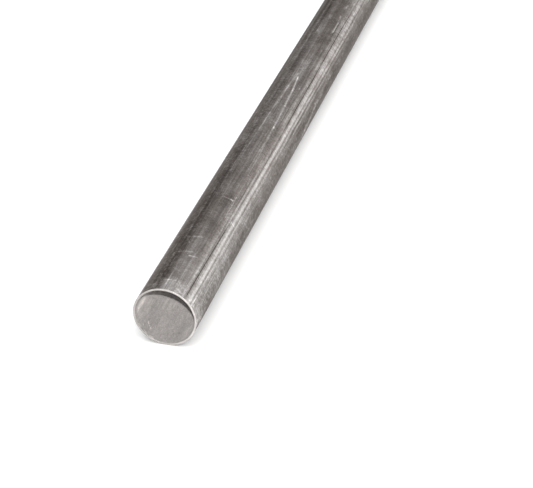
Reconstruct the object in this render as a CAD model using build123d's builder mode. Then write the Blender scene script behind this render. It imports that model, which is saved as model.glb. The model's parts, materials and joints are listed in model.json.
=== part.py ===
from build123d import *
import os

os.makedirs("parts", exist_ok=True)

# A straight length of plain, unthreaded steel conduit, lying on its side.
# Millimetres. +Y runs along the tube from the near cut end to the far cut end,
# +Z is up, and z = 0 is the level that the lowest side of the tube touches.
# The origin is halfway along the tube, straight below its axis.

outside_diameter = 50.0    # nominal conduit size
wall_thickness = 1.6       # a little over 3 % of the outside diameter
stock_length = 3000.0      # one full stock length
outer_edge_radius = 0.15   # the saw burr taken off the outside corner
inner_edge_chamfer = 0.15  # the reamed corner at the mouth of the bore

outside_radius = outside_diameter / 2
bore_radius = outside_radius - wall_thickness

# The section stands in a plane square to the axis, at the far end of the tube.
far_end = Plane(
    origin=(0, stock_length / 2, outside_radius),
    x_dir=(1, 0, 0),
    z_dir=(0, -1, 0),
)

# Drawn tube: one piece, with the bore open from end to end.
with BuildPart() as conduit_tube:
    with BuildSketch(far_end):
        Circle(outside_radius)
        Circle(bore_radius, mode=Mode.SUBTRACT)
    extrude(amount=stock_length)

    # Both ends are sawn square. Each end face has an outer and an inner rim.
    end_rims = (
        conduit_tube.edges()
        .filter_by(GeomType.CIRCLE)
        .group_by(SortBy.RADIUS)
    )
    bore_rims = end_rims[0]
    outer_rims = end_rims[-1]
    chamfer(bore_rims, length=inner_edge_chamfer)
    fillet(outer_rims, radius=outer_edge_radius)

conduit_tube.part.label = "conduit_tube"
export_step(conduit_tube.part, "parts/conduit_tube.step")

section_area = 3.141592653589793 * (outside_radius**2 - bore_radius**2)
print("volume mm3", round(conduit_tube.part.volume, 1),
      "section x length", round(section_area * stock_length, 1))
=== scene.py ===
import json
import math
import random

import bpy
from mathutils import Matrix, Vector


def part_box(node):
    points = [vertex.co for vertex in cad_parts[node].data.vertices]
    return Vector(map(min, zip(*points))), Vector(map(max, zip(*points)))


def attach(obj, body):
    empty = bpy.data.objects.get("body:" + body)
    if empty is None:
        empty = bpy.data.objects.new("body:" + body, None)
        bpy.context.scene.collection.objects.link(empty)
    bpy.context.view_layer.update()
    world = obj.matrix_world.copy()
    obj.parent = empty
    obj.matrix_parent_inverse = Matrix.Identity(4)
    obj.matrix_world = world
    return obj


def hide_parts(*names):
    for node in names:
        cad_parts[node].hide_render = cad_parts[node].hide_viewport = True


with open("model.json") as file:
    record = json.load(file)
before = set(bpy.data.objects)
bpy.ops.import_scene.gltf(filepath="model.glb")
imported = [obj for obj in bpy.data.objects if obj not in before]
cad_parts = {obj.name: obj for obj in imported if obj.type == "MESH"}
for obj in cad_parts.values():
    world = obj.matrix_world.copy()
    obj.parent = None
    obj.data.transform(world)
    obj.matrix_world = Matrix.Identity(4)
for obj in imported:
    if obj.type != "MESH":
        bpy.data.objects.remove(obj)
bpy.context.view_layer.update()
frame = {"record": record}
scene = bpy.context.scene

# ---------------------------------------------------------------- sizes, metres
LOW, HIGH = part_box("conduit_tube")
SIZES = {m["name"]: m["dims"] for m in frame["record"]["mounts"]}
R = SIZES["outside"]["r_mm"] / 1000
RB = SIZES["bore"]["r_mm"] / 1000
Y0, Y1 = LOW.y, HIGH.y          # near and far cut ends
LENGTH = Y1 - Y0
AXIS_Z = R                      # the tube lies on z = 0
EDGE = 0.00015                  # deburred outer corner and reamed inner corner

# Angles round the tube are in degrees: 0 is +X, 90 is the top, and the bottom is both -90 and 270.
# Places along it are in millimetres from the near end.
SEAM_AT = 48.3


def seam_shift(s):
    """How far the drawn seam line wanders from SEAM_AT, in degrees, s mm from the near end."""
    return 1.96 * math.cos(2 * math.pi * (s - 487) / 540) + 0.39 * math.sin(2 * math.pi * s / 230 - 0.58)


def out_of_round(a, s):
    """Small departures of a drawn tube from a true circle, in metres."""
    t = math.radians(a)
    slow = s / 900
    return (0.000020 * math.sin(2 * t + 0.6 + slow)
            + 0.000014 * math.sin(3 * t + 2.1 - 0.7 * slow)
            + 0.000010 * math.sin(7 * t + 1.3 + 1.6 * slow)
            + 0.000008 * math.sin(13 * t + 0.4 - 2.3 * slow)
            + 0.000006 * math.sin(19 * t + 2.9 + 3.1 * slow))


# ---------------------------------------------------------------- tube mesh
def build_tube():
    rng = random.Random(7)
    columns = [(-90 + k, 0.0) for k in range(360)]
    # the seam groove has its own close columns, which follow it as it wanders
    columns = [c for c in columns if abs(c[0] - SEAM_AT) > 1.3]
    columns += [(SEAM_AT + 0.2 * k, 1.0) for k in range(-6, 7)]
    columns.sort()
    angles = [c[0] for c in columns]
    n = len(angles)

    near = [0.3, 0.7, 1.2, 2.0, 3.2, 5.0, 7.5, 11.0]
    outer = near + [11 + 989 * k / 76 for k in range(1, 77)]
    outer += [1000 + 1989 * k / 48 for k in range(1, 49)] + [3000 - s for s in reversed(near[:-1])]
    inner = near + [16, 22, 30, 40, 55, 75, 100, 140, 200]
    inner += [200 + 2600 * k / 20 for k in range(1, 21)]
    inner += [3000 - s for s in reversed(near + [16, 22, 30, 40, 55, 75, 100, 140])]

    lip = []            # (radius, depth behind the end plane), from the outside to the bore
    for k in range(5):
        t = math.radians(90 * k / 4)
        lip.append((R - EDGE + EDGE * math.cos(t), EDGE - EDGE * math.sin(t)))
    for k in range(1, 4):
        lip.append((R - EDGE + k / 4 * (RB + 2 * EDGE - R), 0.0))
    lip += [(RB + EDGE, 0.0), (RB + EDGE * 0.5, EDGE * 0.45), (RB, EDGE)]

    # small irregularities of the two rims, as a saw and a reamer leave them
    def ripple(count, seed):
        r = random.Random(seed)
        terms = [(r.randint(9, 90), r.uniform(0, 6.28), r.uniform(0.3, 1)) for _ in range(count)]
        total = sum(t[2] for t in terms)
        return lambda a: sum(w * math.sin(k * math.radians(a) + p) for k, p, w in terms) / total

    rim_out, rim_in = ripple(9, 3), ripple(9, 5)
    nicks = [(rng.uniform(0, 360), rng.uniform(0.5, 1.6), rng.uniform(0.00004, 0.00011)) for _ in range(16)]
    nicks += [(180, 1.2, 0.00016), (64, 1.4, 0.0001)]

    def nick(a):
        d = 0.0
        for c, w, h in nicks:
            x = ((a - c + 180) % 360 - 180) / w
            if abs(x) < 3:
                d += h * math.exp(-x * x)
        return d

    rings = []          # (radius, place along the tube, slot of the strip that follows, rim weights)
    for k, (r, d) in enumerate(lip):
        w_out = 1.0 if k <= 4 else 0.0
        w_in = 1.0 if k >= len(lip) - 3 else 0.0
        rings.append((r, d * 1000, 1 if k < len(lip) - 1 else 2, w_out, w_in, -1))
    for s in inner:
        rings.append((RB, s, 2, 0, 0, 0))
    for k, (r, d) in enumerate(reversed(lip)):
        w_out = 1.0 if k >= len(lip) - 5 else 0.0
        w_in = 1.0 if k < 3 else 0.0
        rings.append((r, 3000 - d * 1000, 1 if k < len(lip) - 1 else 0, w_out, w_in, 1))
    for s in reversed(outer):
        rings.append((R, s, 0, 0, 0, 0))

    verts, uvs = [], []
    for r, s, _, w_out, w_in, end in rings:
        outside = (r - RB) / (R - RB)
        for a, follows in columns:
            gap = abs(a - SEAM_AT)
            pull = 1 if gap < 1.5 else max(0.0, 1 - (gap - 1.5) / 7)
            ang = a + seam_shift(s) * pull * pull * (3 - 2 * pull)
            rr = r + out_of_round(ang, s)
            ss = s
            if outside > 0.5:
                q = (a - SEAM_AT) / 0.55
                fade = min(1.0, s / 4)
                rr -= fade * 0.00006 * math.exp(-q * q)
                rr += fade * 0.000018 * math.exp(-((abs(a - SEAM_AT) - 0.95) / 0.3) ** 2)
            if end and w_out:
                rr += 0.000012 * rim_out(ang + 40 * end) - (0.7 * nick(ang) if end < 0 else 0.5 * nick(ang + 77))
                ss += -end * (0.012 * rim_out(ang + 140) + 1000 * (0.8 * nick(ang) if end < 0 else 0.5 * nick(ang + 77)))
            if end and w_in:
                rr += 0.00002 * rim_in(ang + 25 * end)
            t = math.radians(ang)
            verts.append((rr * math.cos(t), Y0 + ss / 1000, AXIS_Z + rr * math.sin(t)))
            uvs.append((ang, s))
    # nothing reaches below the floor
    verts = [(x, y, max(z, 0.0)) for x, y, z in verts]

    faces, slots, loop_uv = [], [], []
    m = len(rings)
    for i in range(m):
        i2 = (i + 1) % m
        for j in range(n):
            j2 = (j + 1) % n
            faces.append((i * n + j, i * n + j2, i2 * n + j2, i2 * n + j))
            slots.append(rings[i][2])
            right = 360.0 if j2 == 0 else 0.0
            for v, wrap in ((i * n + j, 0), (i * n + j2, right), (i2 * n + j2, right), (i2 * n + j, 0)):
                a, s = uvs[v]
                loop_uv.append(((a + wrap + 90) / 360, s / 3000))
    mesh = bpy.data.meshes.new("conduit_tube_skin")
    mesh.from_pydata(verts, [], faces)
    mesh.polygons.foreach_set("material_index", slots)
    mesh.polygons.foreach_set("use_smooth", [True] * len(faces))
    layer = mesh.uv_layers.new(name="UVMap")
    layer.data.foreach_set("uv", [c for uv in loop_uv for c in uv])
    mesh.update()
    ob = bpy.data.objects.new("conduit_tube_skin", mesh)
    scene.collection.objects.link(ob)
    print("triangles", 2 * len(faces))
    return ob


tube = build_tube()


# ---------------------------------------------------------------- shader helpers
class Net:
    """Builds node networks with short calls. Sockets and numbers can be mixed."""

    def __init__(self, name):
        self.mat = bpy.data.materials.new(name)
        self.mat.use_nodes = True
        self.tree = self.mat.node_tree
        self.bsdf = self.tree.nodes["Principled BSDF"]

    def node(self, kind, inputs=(), **props):
        n = self.tree.nodes.new(kind)
        for k, v in props.items():
            setattr(n, k, v)
        for key, v in dict(inputs).items():
            self.put(n.inputs[key], v)
        return n

    def put(self, socket, v):
        if isinstance(v, bpy.types.NodeSocket):
            self.tree.links.new(v, socket)
        elif v is not None:
            socket.default_value = v

    def math(self, op, a, b=None, c=None):
        return self.node("ShaderNodeMath", {0: a, 1: b, 2: c}, operation=op).outputs[0]

    def add(self, a, b): return self.math("ADD", a, b)
    def sub(self, a, b): return self.math("SUBTRACT", a, b)
    def mul(self, a, b): return self.math("MULTIPLY", a, b)
    def mad(self, a, b, c): return self.math("MULTIPLY_ADD", a, b, c)

    def vec(self, op, a, b=None, scale=None, out=0):
        n = self.node("ShaderNodeVectorMath", operation=op)
        self.put(n.inputs[0], a)
        if b is not None:
            self.put(n.inputs[1], b)
        if scale is not None:
            self.put(n.inputs["Scale"], scale)
        return n.outputs[out]

    def join(self, x, y, z=0.0):
        return self.node("ShaderNodeCombineXYZ", {0: x, 1: y, 2: z}).outputs[0]

    def ramp(self, v, lo, hi, a=0.0, b=1.0, kind="SMOOTHSTEP"):
        n = self.node("ShaderNodeMapRange", {0: v, 1: lo, 2: hi, 3: a, 4: b}, interpolation_type=kind)
        return n.outputs[0]

    def noise(self, vector, scale, detail=2.0, rough=0.5, distortion=0.0, dims="3D", w=None):
        n = self.node("ShaderNodeTexNoise", noise_dimensions=dims)
        if dims != "1D":
            self.put(n.inputs["Vector"], vector)
        if w is not None:
            self.put(n.inputs["W"], w)
        self.put(n.inputs["Scale"], scale)
        self.put(n.inputs["Detail"], detail)
        self.put(n.inputs["Roughness"], rough)
        self.put(n.inputs["Distortion"], distortion)
        return n.outputs[0]

    def mix(self, fac, a, b):
        n = self.node("ShaderNodeMix", data_type="RGBA")
        self.put(n.inputs[0], fac)
        self.put(n.inputs[6], a)
        self.put(n.inputs[7], b)
        return n.outputs[2]

    def bump(self, height, distance, strength=1.0, normal=None):
        n = self.node("ShaderNodeBump", {"Height": height, "Distance": distance, "Strength": strength})
        if normal is not None:
            self.put(n.inputs["Normal"], normal)
        return n.outputs[0]

    def frame_of_tube(self):
        """Place on the tube: x, z from the axis and s along it in mm, and the angle in degrees."""
        tc = self.node("ShaderNodeTexCoord")
        self.here = tc.outputs["Object"]
        sep = self.node("ShaderNodeSeparateXYZ", {0: self.here})
        self.x = self.mul(sep.outputs[0], 1000.0)
        self.s = self.mul(self.sub(sep.outputs[1], Y0), 1000.0)
        self.z = self.mul(self.sub(sep.outputs[2], AXIS_Z), 1000.0)
        from_top = self.mul(self.math("ARCTAN2", self.x, self.z), 180 / math.pi)
        self.phi = self.sub(90.0, from_top)
        self.arc = self.mul(self.phi, 25 * math.pi / 180)
        self.flat = self.join(self.arc, self.s)
        self.p = self.along(1)

    def along(self, stretch, shift=0.0):
        """Coordinates in mm squeezed along the tube, so that a noise draws lines along it."""
        return self.node("ShaderNodeMapping", {
            "Vector": self.here, "Location": (shift, -Y0 * 1000 / stretch, -AXIS_Z * 1000),
            "Scale": (1000, 1000 / stretch, 1000)}).outputs[0]

    def gauss(self, v, centre, width):
        q = self.mul(self.sub(v, centre), 1.0 / width)
        return self.math("POWER", math.e, self.mul(self.mul(q, q), -1.0))


MARK = None


def mark_group():
    """A straight mark from A to B on the unrolled surface: 1 on the line, fading to 0 past its half width."""
    g = bpy.data.node_groups.new("straight_mark", "ShaderNodeTree")
    face = g.interface
    for name, kind in (("P", "NodeSocketVector"), ("A", "NodeSocketVector"), ("AB", "NodeSocketVector"),
                       ("Inverse", "NodeSocketFloat"), ("Width", "NodeSocketFloat"), ("Strength", "NodeSocketFloat")):
        face.new_socket(name, in_out="INPUT", socket_type=kind)
    face.new_socket("Mask", in_out="OUTPUT", socket_type="NodeSocketFloat")
    nodes, links = g.nodes, g.links
    i, o = nodes.new("NodeGroupInput"), nodes.new("NodeGroupOutput")

    def vm(op, a, b=None, scale=None, out=0):
        n = nodes.new("ShaderNodeVectorMath")
        n.operation = op
        links.new(a, n.inputs[0])
        if b is not None:
            links.new(b, n.inputs[1])
        if scale is not None:
            links.new(scale, n.inputs["Scale"])
        return n.outputs[out]

    def m(op, a, b):
        n = nodes.new("ShaderNodeMath")
        n.operation = op
        for k, v in enumerate((a, b)):
            if isinstance(v, bpy.types.NodeSocket):
                links.new(v, n.inputs[k])
            elif v is not None:
                n.inputs[k].default_value = v
        return n.outputs[0]

    pa = vm("SUBTRACT", i.outputs["P"], i.outputs["A"])
    t = m("MULTIPLY", vm("DOT_PRODUCT", pa, i.outputs["AB"], out=1), i.outputs["Inverse"])
    t = m("MINIMUM", m("MAXIMUM", t, 0.0), 1.0)
    d = vm("LENGTH", vm("SUBTRACT", pa, vm("SCALE", i.outputs["AB"], scale=t)), out=1)
    q = m("DIVIDE", d, i.outputs["Width"])
    mask = m("POWER", math.e, m("MULTIPLY", m("MULTIPLY", q, q), -1.0))
    links.new(m("MULTIPLY", mask, i.outputs["Strength"]), o.inputs["Mask"])
    return g


def draw_marks(net, marks):
    """The sum of straight marks, each (s0, angle0, s1, angle1, half width in mm, strength)."""
    global MARK
    MARK = MARK or mark_group()
    total = None
    k = 25 * math.pi / 180
    for s0, a0, s1, a1, width, strength in marks:
        n = net.node("ShaderNodeGroup")
        n.node_tree = MARK
        net.put(n.inputs["P"], net.flat)
        n.inputs["A"].default_value = (a0 * k, s0, 0)
        ab = ((a1 - a0) * k, s1 - s0, 0)
        n.inputs["AB"].default_value = ab
        n.inputs["Inverse"].default_value = 1 / max(1e-6, ab[0] ** 2 + ab[1] ** 2)
        n.inputs["Width"].default_value = width
        n.inputs["Strength"].default_value = strength
        total = n.outputs[0] if total is None else net.add(total, n.outputs[0])
    return total


def draw_bands(net, phi, bands):
    """The sum of bands along the tube, each (angle, half width in degrees, flatness, s0, s1, fade in mm, strength)."""
    total = None
    for angle, width, flat, s0, s1, fade, strength in bands:
        q = net.mul(net.sub(phi, angle), 1.0 / width)
        q = net.mul(q, q)
        if flat > 1:
            q = net.math("POWER", q, float(flat))
        g = net.math("POWER", math.e, net.mul(q, -1.0))
        if s0 > 0:
            g = net.mul(g, net.ramp(net.s, s0 - fade, s0 + fade))
        if s1 < 3000:
            g = net.mul(g, net.ramp(net.s, s1 - fade, s1 + fade, 1.0, 0.0))
        total = net.mul(g, strength) if total is None else net.mad(g, strength, total)
    return total


def polyline(points, width, strengths):
    """Marks joined end to end through (s, angle) points."""
    return [(*points[k], *points[k + 1], width, strengths[k]) for k in range(len(points) - 1)]


def tinted(net, tone, color):
    """The colour times a grey tone."""
    mixer = net.node("ShaderNodeMix", data_type="RGBA", blend_type="MULTIPLY")
    mixer.inputs[0].default_value = 1.0
    net.put(mixer.inputs[6], color)
    net.put(mixer.inputs[7], net.node("ShaderNodeCombineColor", {0: tone, 1: tone, 2: tone}).outputs[0])
    return mixer.outputs[2]


# bands of tone round the tube: many are painted reflection and painted shade, lighter and darker by angle where the
# studio reflects in the steel; others are streaks
# (angle, half width, flatness, s0, s1, fade, strength as a natural logarithm)
ALL = (0, 3000)
STREAKS_AND_PAINTED_REFLECTIONS = [
    # the bright strip below the seam, with thin lines beside it: a burnished strip carrying a painted highlight
    (41.0, 3.6, 2, *ALL, 10, 0.54), (40.8, 2.4, 1, 0, 320, 80, 0.20), (33.0, 6.0, 2, 0, 520, 12, 0.20),
    (35.0, 3.5, 1, 0, 110, 20, 0.26),
    (32.6, 1.6, 1, *ALL, 10, 0.22), (24.5, 1.6, 1, 20, 100, 8, 0.22), (24.8, 1.6, 1, 285, 515, 12, 0.42),
    (45.7, 1.2, 1, 5, 110, 15, 0.36), (50.3, 1.8, 1, 108, 290, 12, 0.42),
    (36.4, 0.9, 1, *ALL, 10, -0.15), (28.4, 1.1, 1, 90, 210, 12, -0.16), (28.8, 1.5, 1, 285, 500, 15, -0.46),
    (53.6, 1.3, 1, 104, 190, 8, -0.30), (55.0, 3.5, 2, 12, 110, 8, 0.06), (54.0, 3.0, 2, 285, 430, 20, 0.16),
    (52.5, 8.0, 3, 430, 620, 25, 0.30), (69.5, 4.0, 2, 50, 150, 12, -0.18), (64.0, 4.0, 2, 250, 400, 20, -0.16),
    (56.0, 4.0, 2, 128, 285, 10, -0.16), (61.0, 3.0, 1, 0, 240, 20, -0.12), (66.0, 4.0, 1, 10, 90, 6, -0.22),
    # the top: painted reflection, lighter and darker in bands
    (73.0, 20.8, 6, 0, 82, 7, 0.20), (70.0, 9.0, 3, 88, 185, 15, -0.14),
    (61.0, 1.4, 1, 240, 520, 15, -0.26), (78.0, 16.0, 3, 190, 345, 15, 0.08), (82.0, 4.0, 1, 385, 450, 20, 0.05),
    (69.5, 2.2, 1, 385, 530, 20, -0.14), (79.0, 8.0, 2, 470, 560, 25, -0.14),
    (84.0, 6.0, 2, 330, 400, 20, 0.14), (61.0, 1.3, 1, 480, 520, 6, -0.28), (68.0, 1.6, 1, 480, 520, 6, -0.22),
    (89.0, 11.0, 3, *ALL, 10, 0.13), (96.0, 10.0, 3, 290, 600, 50, 0.18),
    # the left flank: painted darker, a painted dark reflection with streaks in it
    (109.0, 13.0, 4, 0, 180, 50, -0.25), (112.0, 12.0, 3, 180, 3000, 60, -0.06),
    (105.5, 2.0, 1, 0, 175, 30, -0.16), (110.8, 1.8, 1, 0, 175, 30, 0.14), (100.8, 1.2, 1, 125, 195, 8, 0.24),
    (104.0, 5.0, 1, 180, 500, 60, 0.12), (104.0, 10.0, 2, 318, 385, 15, 0.20),
    (117.8, 1.9, 1, 0, 180, 30, -0.26), (119.5, 3.0, 1, 180, 560, 60, -0.14), (135.0, 6.0, 2, *ALL, 10, -0.24),
    (134.5, 3.4, 1, 140, 3000, 40, -0.28), (138.0, 5.0, 2, 320, 3000, 40, -0.80),
    (110.3, 1.7, 1, 375, 565, 15, 0.36), (100.0, 6.5, 2, 513, 552, 6, -0.34), (119.0, 5.0, 2, 500, 575, 8, -0.18),
    (128.0, 3.2, 1, 150, 500, 40, 0.10),
    # the first millimetres behind the rim, lighter and darker by angle round the tube
    (55.0, 4.0, 2, 0, 12, 4, -0.25), (88.0, 12.0, 2, 0, 15, 5, 0.20), (-4.0, 10.0, 2, 0, 13, 4, 0.22), (20.0, 4.0, 2, 0, 24, 5, -0.20),
    # the right flank: painted reflection of the pale floor, lighter and darker in bands
    (6.0, 16.0, 3, 0, 95, 25, 0.28), (22.0, 5.0, 1, 0, 100, 25, 0.32), (-6.0, 9.0, 2, 0, 80, 15, 0.14),
    (21.0, 5.5, 1, 100, 250, 20, 0.22), (8.0, 12.0, 2, 190, 325, 20, 0.08), (-9.0, 4.2, 1, 100, 3000, 40, -0.20),
    (9.0, 15.0, 3, 300, 3000, 50, -0.22), (0.0, 6.0, 1, 14, 36, 6, -0.14),
    (-8.0, 4.0, 1, 24, 40, 6, -0.18), (32.0, 6.5, 2, 372, 432, 15, -0.16), (-8.0, 4.0, 1, 92, 112, 6, -0.20),
    # farther along, and on the sides that face away
    (28.5, 1.3, 1, 640, 2850, 50, -0.18), (54.0, 2.5, 1, 700, 2600, 60, 0.14), (62.0, 2.0, 1, 640, 1500, 60, -0.22),
    (88.0, 5.0, 2, 700, 1200, 80, -0.16), (97.0, 3.0, 1, 1000, 2600, 90, 0.14),
    (151.0, 3.5, 1, *ALL, 10, 0.16), (164.0, 6.0, 2, 200, 2200, 90, -0.22), (177.0, 2.0, 1, *ALL, 10, 0.18),
    (193.0, 8.0, 2, *ALL, 10, -0.16), (206.0, 2.2, 1, 300, 2900, 60, 0.22), (224.0, 8.0, 2, *ALL, 10, -0.14),
    (241.0, 2.5, 1, *ALL, 10, 0.16), (257.0, 5.0, 2, *ALL, 10, -0.12), (-30.0, 2.4, 1, *ALL, 10, 0.16),
    (-45.0, 4.0, 2, *ALL, 10, -0.16), (-64.0, 7.0, 2, *ALL, 10, -0.12),
]

MARKS = []
# two scratches that meet, and a wide soft scuff on the right
MARKS += polyline([(118, 60.5), (150, 61.5), (188, 63), (225, 65.5), (275, 68.5), (318, 71.5), (350, 74.5), (378, 79.3)],
                  0.72, [0.60, 0.42, 0.52, 0.55, 0.62, 0.68, 0.86])
MARKS += polyline([(186, 98), (238, 95), (268, 93.5), (300, 92), (350, 88.5), (385, 84)],
                  0.85, [0.24, 0.40, 0.50, 0.40, 0.40])
MARKS += polyline([(372, 78.6), (410, 81), (455, 84)], 2.4, [0.32, 0.18])
MARKS += polyline([(304, -10), (325, -4), (345, 2), (365, 8), (390, 12), (425, 17)], 1.9, [0.55, 0.62, 0.48, 0.32, 0.22])
MARKS += [
    # across the tube near its end
    (14.2, 79, 13.0, 106, 0.55, 0.58), (7, 92, 23, 91.6, 0.45, 0.40), (15, 80, 18, 78, 0.6, 0.4),
    (52, 66, 50.5, 81, 0.60, 0.75), (56.5, 79, 54, 114, 0.70, 0.50), (79.5, 78, 77.5, 101, 0.80, 0.55),
    (68, 94, 80, 108, 0.6, 0.34), (116, 35, 117.5, 48, 0.65, 0.55), (143.4, 62, 144.5, 82, 0.55, 0.75),
    (143.6, 65.6, 144.0, 67.0, 0.95, 1.15), (137, 62, 137.5, 70, 0.5, 0.50), (3, 60, 5, 68, 0.9, 0.45),
    (7, 74, 56, 73.4, 0.45, 0.36), (10, 66, 14, 72, 0.7, 0.4), (1, 54, 9, 57, 0.8, 0.4),
    # dashes and spots farther up
    (489, 64, 514, 64, 0.62, 1.15), (525, 66, 529, 67, 0.95, 0.75), (550, 66, 558, 65, 1.0, 0.80),
    (371, 51, 373, 54, 0.9, 0.55), (358, 63, 359, 64, 0.9, 0.65), (444, 63, 448, 65, 0.9, 0.35),
    (340, 106, 332, 132, 0.8, 0.34), (318, 62, 323, 54, 0.6, 0.32), (178, 124, 182, 129, 1.3, 0.50),
    (274, 67.6, 277, 68.2, 0.95, 0.5), (480, 92, 486, 98, 1.2, 0.35), (365, 12, 380, 8, 1.4, 0.30),
    (352, 86, 358, 88, 1.0, 0.4), (188, 58, 176, 56, 0.9, 0.35),
    # beyond the photograph and on the far sides
    (690, 55, 742, 60, 0.5, 0.6), (700, 120, 704, 84, 0.55, 0.5), (830, 40, 832, 78, 0.5, 0.6),
    (905, 90, 1010, 96, 0.5, 0.5), (1180, 70, 1183, 110, 0.55, 0.55), (1330, 20, 1420, 26, 0.5, 0.5),
    (1560, 100, 1564, 60, 0.55, 0.5), (1840, 66, 1990, 72, 0.5, 0.5), (2210, 84, 2212, 120, 0.55, 0.5),
    (2570, 50, 2660, 44, 0.5, 0.5), (2840, 60, 2843, 102, 0.55, 0.6), (2960, 78, 2962, 96, 0.5, 0.5),
    (40, 182, 43, 214, 0.55, 0.6), (160, 196, 250, 203, 0.5, 0.5), (520, 170, 523, 205, 0.55, 0.5),
]


# ---------------------------------------------------------------- steel, outside
def steel_outside():
    net = Net("steel_outside")
    net.frame_of_tube()
    m, b = net, net.bsdf

    # drawn streaks along the tube, from broad to hair-fine, and the skin's mottling
    broad = m.noise(m.along(220), 0.16, 2, 0.5)
    mid = m.noise(m.along(110), 0.60, 3, 0.6)
    fine = m.noise(m.along(45), 1.7, 3, 0.65)
    hair = m.noise(m.along(22), 6.0, 2, 0.6)
    cloud = m.noise(m.p, 0.04, 3, 0.55)
    mottle = m.noise(m.p, 0.42, 3, 0.6)
    grain = m.noise(m.p, 1.25, 2, 0.6)

    # the seam line
    shift = m.add(m.mul(m.math("COSINE", m.mad(m.s, 2 * math.pi / 540, -2 * math.pi * 487 / 540)), 1.96),
                  m.mul(m.math("SINE", m.mad(m.s, 2 * math.pi / 230, -0.58)), 0.39))
    seam_phi = m.sub(m.sub(m.phi, SEAM_AT), shift)
    wear = m.noise(None, 0.02, 2, 0.5, dims="1D", w=m.s)
    seam_on = m.math("MAXIMUM", m.mul(m.ramp(m.s, 98, 116, 1.0, 0.35), m.ramp(m.s, 2, 8)),
                     m.mul(m.ramp(m.s, 268, 300), m.ramp(m.s, 490, 545, 1.0, 0.35)))
    seam_on = m.mul(seam_on, m.ramp(wear, 0.3, 0.6, 0.55, 1.0))
    seam = m.mul(m.gauss(seam_phi, 0.0, 0.82), seam_on)

    # bands along the tube, partly painted reflection: they wander a little, and the bright strip with its painted
    # highlight is blotchy
    wander = m.mul(m.sub(m.noise(None, 0.006, 2, 0.5, dims="1D", w=m.s), 0.5), 3.0)
    phi = m.add(m.phi, wander)
    log_tone = draw_bands(m, phi, STREAKS_AND_PAINTED_REFLECTIONS)
    strip_highlight_zone = m.mul(m.gauss(m.phi, 36.0, 12.0), m.ramp(m.s, 180, 320, 0.35, 1.0))
    blotch = m.sub(m.noise(m.along(5), 0.42, 3, 0.6), 0.5)
    log_tone = m.mad(m.mul(strip_highlight_zone, blotch), 1.10, log_tone)
    log_tone = m.add(log_tone, m.ramp(m.s, 9, 20, 0.30, 0.0))

    # streaks run everywhere and are weaker on the right flank
    calm = m.mad(m.mul(m.gauss(m.phi, 76.0, 18.0), m.ramp(m.s, 80, 130, 1.0, 0.45)), -0.38, 1.0)
    flank = m.mul(m.ramp(m.phi, 12, 28, 0.60, 1.0), m.mad(m.gauss(m.phi, 39.5, 6.0), -0.5, 1.0))
    flank = m.mul(m.mul(flank, calm), m.ramp(m.phi, 92, 108, 1.0, 1.4))
    streak = m.mul(m.sub(broad, 0.5), 1.0)
    streak = m.mad(m.sub(mid, 0.5), 1.35, streak)
    streak = m.mad(m.sub(fine, 0.5), 1.35, streak)
    streak = m.mad(m.sub(hair, 0.5), 0.9, streak)
    log_tone = m.mad(streak, flank, log_tone)
    log_tone = m.mad(m.sub(cloud, 0.5), 1.0, log_tone)
    side = m.math("MAXIMUM", m.ramp(m.phi, 8, 24, 1.0, 0.0), m.ramp(m.phi, 92, 108))
    log_tone = m.mad(m.sub(mottle, 0.5), m.mul(m.mad(side, 1.5, 1.4), calm), log_tone)
    log_tone = m.mad(m.mul(m.sub(grain, 0.5), m.mad(m.gauss(m.phi, 40.0, 5.0), -0.5, 1.0)), 1.2, log_tone)
    log_tone = m.mad(seam, -1.08, log_tone)

    # handling marks, broken up along their length
    scored = m.mul(draw_marks(m, MARKS), m.ramp(m.noise(m.p, 0.9, 3, 0.65), 0.30, 0.60, 0.35, 1.3))

    def scratches(turn, across, length, low, patch_scale, patch_low, seed):
        """Many fine straight scratches, turned from the tube's own direction, in patches."""
        c, s_ = math.cos(math.radians(turn)), math.sin(math.radians(turn))
        u = m.add(m.mul(m.arc, c / across), m.mul(m.s, s_ / across))
        v = m.add(m.mul(m.arc, -s_ / length), m.mul(m.s, c / length))
        lines = m.ramp(m.noise(m.join(u, v, seed), 1.0, 1, 0.5, 0.15), low, low + 0.08)
        patch = m.ramp(m.noise(m.along(1, seed * 31.0), patch_scale, 2, 0.5), patch_low, patch_low + 0.18)
        return m.mul(lines, patch)

    cross = m.add(scratches(88, 0.50, 9.0, 0.68, 0.045, 0.50, 3.7),
                  m.add(scratches(24, 0.45, 14.0, 0.67, 0.03, 0.48, 8.1),
                        scratches(-21, 0.45, 14.0, 0.67, 0.03, 0.50, 5.3)))
    cross = m.math("MINIMUM", cross, 1.0)
    length_lines = scratches(2, 0.40, 60.0, 0.66, 0.02, 0.40, 1.9)
    log_tone = m.mad(scored, 1.0, log_tone)
    log_tone = m.mad(cross, 0.34, log_tone)
    log_tone = m.mad(length_lines, 0.30, log_tone)
    rungs = m.sub(m.noise(m.join(m.mul(m.arc, 0.06), m.mul(m.s, 0.20), 4.0), 1.0, 2, 0.6), 0.5)
    log_tone = m.mad(m.mul(m.mul(m.gauss(m.phi, 42.0, 15.0), m.ramp(m.s, 430, 480)), rungs), 1.05, log_tone)

    tone = m.math("MINIMUM", m.math("POWER", math.e, log_tone), 4.2)
    # darker tone is browner, and bright tone is neutral like the painted highlights of white lamps; past the top the
    # hue is browner
    hue_tone = m.add(m.add(tone, m.noise(m.along(18), 0.12, 3, 0.6)), m.ramp(m.phi, 55, 95, 0.08, -0.30))
    hue = m.mix(m.ramp(hue_tone, 0.6, 2.7),
                (0.191, 0.168, 0.155, 1), (0.188, 0.182, 0.178, 1))
    m.put(b.inputs["Base Color"], tinted(m, tone, hue))
    b.inputs["Metallic"].default_value = 1.0
    b.inputs["Specular Tint"].default_value = (0.45, 0.44, 0.43, 1)

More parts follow.
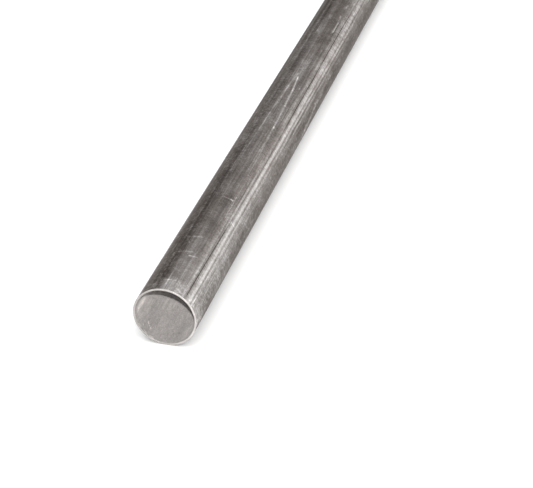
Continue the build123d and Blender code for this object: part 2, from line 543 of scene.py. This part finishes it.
    rough = m.mad(mid, 0.10, 0.25)
    rough = m.mad(cloud, 0.10, rough)
    rough = m.mad(mottle, 0.08, rough)
    rough = m.mad(scored, 0.30, rough)
    rough = m.mad(cross, 0.12, rough)
    rough = m.mad(seam, 0.25, rough)
    m.put(b.inputs["Roughness"], m.math("MINIMUM", rough, 0.85))

    height = m.mad(mid, 0.35, broad)
    height = m.mad(fine, 0.07, height)
    height = m.mad(hair, 0.012, height)
    height = m.mad(mottle, 0.04, height)
    height = m.mad(cross, -0.02, height)
    m.put(b.inputs["Normal"], m.bump(height, 0.00020, 1.0))
    return m.mat


# ---------------------------------------------------------------- steel, sawn end
def steel_cut():
    net = Net("steel_cut")
    net.frame_of_tube()
    m, b = net, net.bsdf
    # the blade came down at a slant: faint parallel lines across the ring
    turn = math.radians(28)
    u = m.add(m.mul(m.x, math.cos(turn)), m.mul(m.z, math.sin(turn)))
    v = m.add(m.mul(m.x, -math.sin(turn)), m.mul(m.z, math.cos(turn)))
    saw = m.noise(m.join(m.mul(u, 5.0), m.mul(v, 0.35)), 1.0, 3, 0.6)
    spots = m.noise(m.p, 1.1, 3, 0.6)
    patch = m.noise(m.p, 0.16, 2, 0.5)
    log_tone = m.mul(m.sub(saw, 0.5), 0.5)
    log_tone = m.mad(m.sub(spots, 0.5), 0.9, log_tone)
    log_tone = m.mad(m.sub(patch, 0.5), 0.6, log_tone)
    # the ring is painted darker towards its left side: painted shade
    log_tone = m.add(log_tone, m.ramp(m.x, -22.0, 16.0, -0.27, 0.02))
    # the inner edge of the lower half is darker
    radius = m.math("SQRT", m.add(m.mul(m.x, m.x), m.mul(m.z, m.z)))
    dull = m.mul(m.ramp(radius, 23.4, 24.1, 1.0, 0.0), m.ramp(m.z, -16.0, -2.0, 1.0, 0.0))
    log_tone = m.mad(dull, -0.35, log_tone)
    tone = m.math("POWER", math.e, log_tone)
    m.put(b.inputs["Base Color"], tinted(m, tone, (0.498, 0.474, 0.461, 1)))
    b.inputs["Metallic"].default_value = 1.0
    m.put(b.inputs["Roughness"], m.mad(spots, 0.25, 0.45))
    m.put(b.inputs["Normal"], m.bump(m.mad(spots, 0.4, saw), 0.00003, 1.0))
    return m.mat


# ---------------------------------------------------------------- steel, bore
def steel_bore():
    net = Net("steel_bore")
    net.frame_of_tube()
    m, b = net, net.bsdf
    grain = m.noise(m.p, 1.3, 3, 0.65)
    coarse = m.noise(m.along(2.2), 0.42, 3, 0.6)
    cloud = m.noise(m.along(3), 0.07, 2, 0.5)
    draw = m.noise(m.along(30), 0.9, 2, 0.5)
    flecks = m.ramp(m.noise(m.p, 0.8, 2, 0.5), 0.70, 0.78)
    log_tone = m.mul(m.sub(grain, 0.5), 1.15)
    log_tone = m.mad(m.sub(coarse, 0.5), 0.6, log_tone)
    log_tone = m.mad(m.sub(cloud, 0.5), 0.3, log_tone)
    log_tone = m.mad(m.sub(draw, 0.5), 0.3, log_tone)
    log_tone = m.mad(flecks, 0.45, log_tone)
    # painted highlights just inside the near mouth, on the left and lower right walls, and a short broken scratch
    log_tone = m.add(log_tone, draw_bands(m, m.phi, [(180.0, 8.0, 2, 4, 24, 4, 0.36), (192.0, 18.0, 2, 3, 34, 6, 0.20),
                                                  (-54.0, 10.0, 2, 3, 20, 5, 0.18)]))
    scratch = [(12.6, 221, 11.3, 223.5, 0.42, 0.55), (10.4, 226.5, 10.0, 227.5, 0.5, 0.50),
               (9.2, 230.5, 8.2, 232.5, 0.42, 0.45), (6.0, 214, 4.8, 216, 0.5, 0.30),
               (1.0, 205, 1.3, 212, 0.6, 0.35), (1.6, 222, 0.8, 230, 0.6, 0.40), (1.0, 237, 1.3, 243, 0.6, 0.35)]
    log_tone = m.add(log_tone, draw_marks(m, scratch))
    # darker at both mouths and lighter deeper in: painted light that dims the lamp-lit mouth and lifts the near rim's
    # shadow in the bore
    depth = m.math("MINIMUM", m.s, m.sub(3000.0, m.s))
    log_tone = m.add(log_tone, m.ramp(depth, 0.0, 50.0, -0.22, 0.10))
    tone = m.math("MINIMUM", m.math("POWER", math.e, log_tone), 1.9)
    m.put(b.inputs["Base Color"], tinted(m, tone, (0.423, 0.401, 0.388, 1)))
    b.inputs["Metallic"].default_value = 0.85
    b.inputs["Diffuse Roughness"].default_value = 1.0
    m.put(b.inputs["Roughness"], m.mad(coarse, 0.12, 0.86))
    m.put(b.inputs["Normal"], m.bump(m.mad(coarse, 1.5, grain), 0.00006, 1.0))
    return m.mat


tube.data.materials.append(steel_outside())
tube.data.materials.append(steel_cut())
tube.data.materials.append(steel_bore())
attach(tube, "root")
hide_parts("conduit_tube")

# ---------------------------------------------------------------- floor
bpy.ops.mesh.primitive_plane_add(size=60, location=(0, 0, 0))
floor = bpy.context.object
floor.name = "floor"
net = Net("floor_pale")
tc = net.node("ShaderNodeTexCoord")
soft = net.noise(tc.outputs["Object"], 1.4, 3, 0.5)
net.put(net.bsdf.inputs["Base Color"], net.mix(soft, (0.90, 0.90, 0.895, 1), (0.93, 0.93, 0.93, 1)))
net.bsdf.inputs["Roughness"].default_value = 0.95
net.bsdf.inputs["Specular IOR Level"].default_value = 0.1
floor.data.materials.append(net.mat)

# ---------------------------------------------------------------- camera
cam_data = bpy.data.cameras.new("camera")
cam = bpy.data.objects.new("camera", cam_data)
scene.collection.objects.link(cam)
cam_data.sensor_fit = "HORIZONTAL"
cam_data.sensor_width = 36.0
cam_data.lens = 36.0 * 1620.95 / 533
cam_data.clip_start = 0.02
cam_data.clip_end = 200
END = Vector((0.0, Y0, AXIS_Z))      # centre of the near end
rot = Matrix(((0.96360, -0.13938, 0.22815),
              (0.26736, 0.50235, -0.82229),
              (0.0, 0.85336, 0.52132)))
cam.matrix_world = Matrix.Translation(END + R * Vector((13.682, -37.917, 27.121))) @ rot.to_4x4()
scene.camera = cam

# ---------------------------------------------------------------- light
scene.view_settings.view_transform = "Standard"
scene.view_settings.look = "None"

world = bpy.data.worlds.new("studio")
scene.world = world
world.use_nodes = True
wt = world.node_tree
bg = wt.nodes["Background"]
wtc = wt.nodes.new("ShaderNodeTexCoord")
wdot = wt.nodes.new("ShaderNodeVectorMath")
wdot.operation = "DOT_PRODUCT"
wt.links.new(wtc.outputs["Generated"], wdot.inputs[0])
wdot.inputs[1].default_value = Vector((-0.75, 0.62, 0.10)).normalized()
wmap = wt.nodes.new("ShaderNodeMapRange")
wmap.interpolation_type = "SMOOTHSTEP"
wt.links.new(wdot.outputs["Value"], wmap.inputs[0])
wmap.inputs[1].default_value = 0.45
wmap.inputs[2].default_value = 0.95
wmap.inputs[3].default_value = 1.00
wmap.inputs[4].default_value = 0.64
bg.inputs["Color"].default_value = (1, 1, 1, 1)
# the studio's wall is plain white; the gradient only lights the scene
wpath = wt.nodes.new("ShaderNodeLightPath")
wmax = wt.nodes.new("ShaderNodeMath")
wmax.operation = "MAXIMUM"
wt.links.new(wmap.outputs[0], wmax.inputs[0])
wt.links.new(wpath.outputs["Is Camera Ray"], wmax.inputs[1])
wt.links.new(wmax.outputs[0], bg.inputs["Strength"])


def aim(ob, where, target):
    d = Vector(target) - Vector(where)
    ob.location = where
    ob.rotation_euler = d.to_track_quat("-Z", "Y").to_euler()


def panel(name, where, target, sx, sy, radiance):
    d = bpy.data.lights.new(name, "AREA")
    d.shape = "RECTANGLE"
    d.size, d.size_y = sx, sy
    d.energy = radiance * math.pi * sx * sy
    ob = bpy.data.objects.new(name, d)
    scene.collection.objects.link(ob)
    aim(ob, where, target)
    ob.visible_camera = False
    return ob


only_tube = bpy.data.collections.new("lit_tube")
only_tube.objects.link(tube)
only_floor = bpy.data.collections.new("lit_floor")
only_floor.objects.link(floor)

# a small lamp above the lens and a weak one at it: they light the cut end and the inner wall, up to the shadow of the near rim
def lamp(name, where, radius, irradiance):
    """A small lamp that gives the near end this irradiance."""
    d = bpy.data.lights.new(name, "POINT")
    d.shadow_soft_size = radius
    d.energy = irradiance * 4 * math.pi * (where - END).length_squared
    ob = bpy.data.objects.new(name, d)
    ob.location = where
    scene.collection.objects.link(ob)
    ob.light_linking.receiver_collection = only_tube


lamp("lamp", END + 48.6 * R * Vector((0.2759, -0.7471, 0.6047)), 0.008, 4.4)
lamp("fill", cam.location.copy(), 0.03, 0.9)


def beside(name, beta, away, width, radiance):
    """A soft panel along the tube, at angle beta over the horizon on the right."""
    b = math.radians(beta)
    ob = panel(name, (away * math.cos(b), 1.0, AXIS_Z + away * math.sin(b)), (0, 1.0, AXIS_Z), width, 4.5, radiance)
    ob.light_linking.receiver_collection = only_tube
    return ob


beside("softbox", 14, 1.50, 0.80, 2.0)
beside("strip", 18, 1.42, 0.12, 7.5)
# an even soft light from above keeps the whole floor pale
sky = bpy.data.lights.new("sky", "SUN")
sky.angle = math.radians(120)
sky.energy = 2.6
above = bpy.data.objects.new("above", sky)
scene.collection.objects.link(above)
aim(above, (1.2, -0.6, 4.0), (0, 0, 0))
above.light_linking.receiver_collection = only_floor
